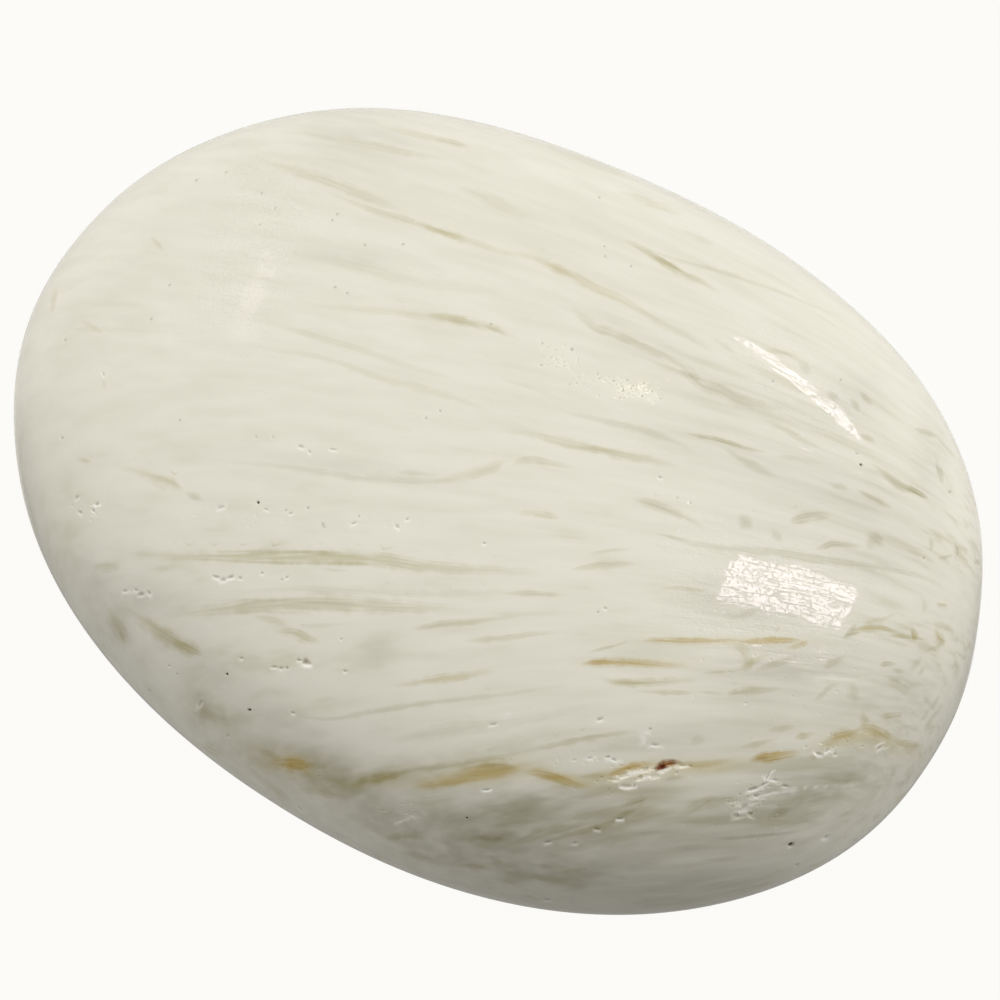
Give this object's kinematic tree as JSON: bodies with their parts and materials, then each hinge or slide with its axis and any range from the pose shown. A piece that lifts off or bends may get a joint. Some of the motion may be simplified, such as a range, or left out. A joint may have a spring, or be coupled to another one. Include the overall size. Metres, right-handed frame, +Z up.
{
  "type": "scolecite palm stone",
  "caption": "Flat oval pebble of polished white fibrous mineral, shaped to be held in the palm, with a small flat on its belly to rest on.",
  "frame": {"origin": "under the middle of the stone's plan, on the surface it rests on", "axes": "+X along the long axis towards the blunt end, +Y across the width towards the back, +Z up through the thickness"},
  "size_m": [0.068, 0.0514, 0.025],
  "materials": {
    "scolecite": "polished"
  },
  "bodies": {
    "root": {"palm_stone": "scolecite"}
  },
  "joints": []
}
